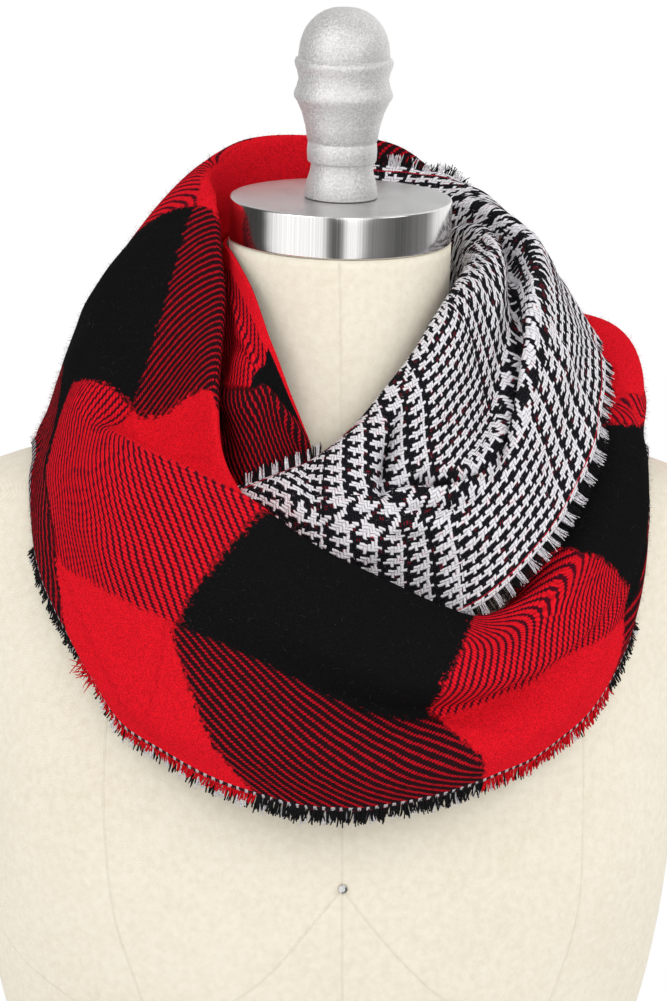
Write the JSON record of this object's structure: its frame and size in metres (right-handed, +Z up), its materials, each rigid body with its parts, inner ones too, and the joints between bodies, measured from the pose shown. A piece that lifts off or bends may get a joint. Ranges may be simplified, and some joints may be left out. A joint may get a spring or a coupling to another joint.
{
  "type": "plaid scarf on a limbless dress form",
  "caption": "Wide reversible plaid loop scarf wound twice round the neck of a limbless linen dress form with a flat steel neck cap and a turned finial.",
  "frame": {"origin": "centre of the form's neck axis on the flat underside that it stands on", "axes": "+Z up along the neck's axis, -Y towards the form's front, +X towards the viewer's right"},
  "size_m": [0.378, 0.2949, 0.7734],
  "materials": {
    "buffalo_check": "napped wool-feel twill, red and black buffalo check",
    "glen_plaid": "napped twill, black and white glen plaid with red flecks",
    "inner_buffalo_check": "napped twill, red and black buffalo check in the neck's shade",
    "hem_yarn": "short eyelash fringe of black, white and red yarn",
    "collar_yarn": "short eyelash fringe of white and black yarn",
    "linen": "fine cream linen jersey with thin seams",
    "cap_steel": "brushed flat top, polished rim",
    "cast_metal": "sand-textured casting, satin silver",
    "stud_metal": "small bright pin"
  },
  "bodies": {
    "root": {"outer_wrap": "buffalo_check", "inner_wrap_right": "glen_plaid", "inner_wrap_left": "inner_buffalo_check", "hem_fringe": "hem_yarn", "collar_fringe": "collar_yarn", "flap_fringe": "collar_yarn", "dress_form": "linen", "neck_cap": "cap_steel", "finial": "cast_metal", "front_stud": "stud_metal"}
  },
  "joints": []
}
